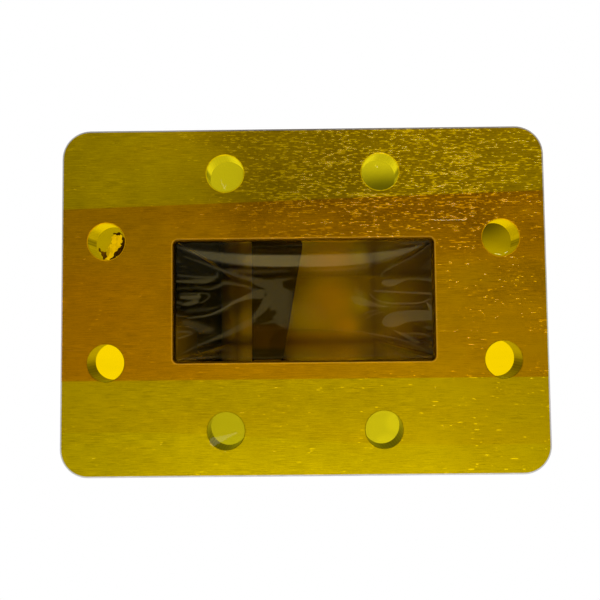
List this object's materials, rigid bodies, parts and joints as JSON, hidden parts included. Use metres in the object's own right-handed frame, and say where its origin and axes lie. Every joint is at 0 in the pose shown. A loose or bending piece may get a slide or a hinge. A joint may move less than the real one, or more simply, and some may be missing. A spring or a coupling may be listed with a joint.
{
  "type": "waveguide load",
  "caption": "Rectangular waveguide load: a closed metal guide with a drilled flange, a black absorber inside and thin amber film over the flange face.",
  "frame": {"origin": "centre of the underside of the closed end plate, on which the load stands", "axes": "+Z from the closed end to the flange face, X along the broad wall of the guide (right in the picture), Y along the narrow wall (up in the picture)"},
  "size_m": [0.0888, 0.0636, 0.1392],
  "materials": {
    "flange_metal": "rolled plate with a fine grain along its length, bright",
    "tube_metal": "drawn tube, satin, with faint draw lines",
    "cap_metal": "milled plate, satin",
    "braze_metal": "cast fillet, dull, slightly uneven",
    "lossy_black": "black iron-filled casting, matt",
    "bond_resin": "thin cured resin, satin",
    "amber_film": "clear amber adhesive film in two overlapping strips, glossy, creased over the mouth"
  },
  "bodies": {
    "root": {"flange": "flange_metal", "waveguide_tube": "tube_metal", "end_cap": "cap_metal", "front_braze": "braze_metal", "rear_braze": "braze_metal", "absorber": "lossy_black", "absorber_bond": "bond_resin", "film_upper": "amber_film", "film_lower": "amber_film"}
  },
  "joints": []
}
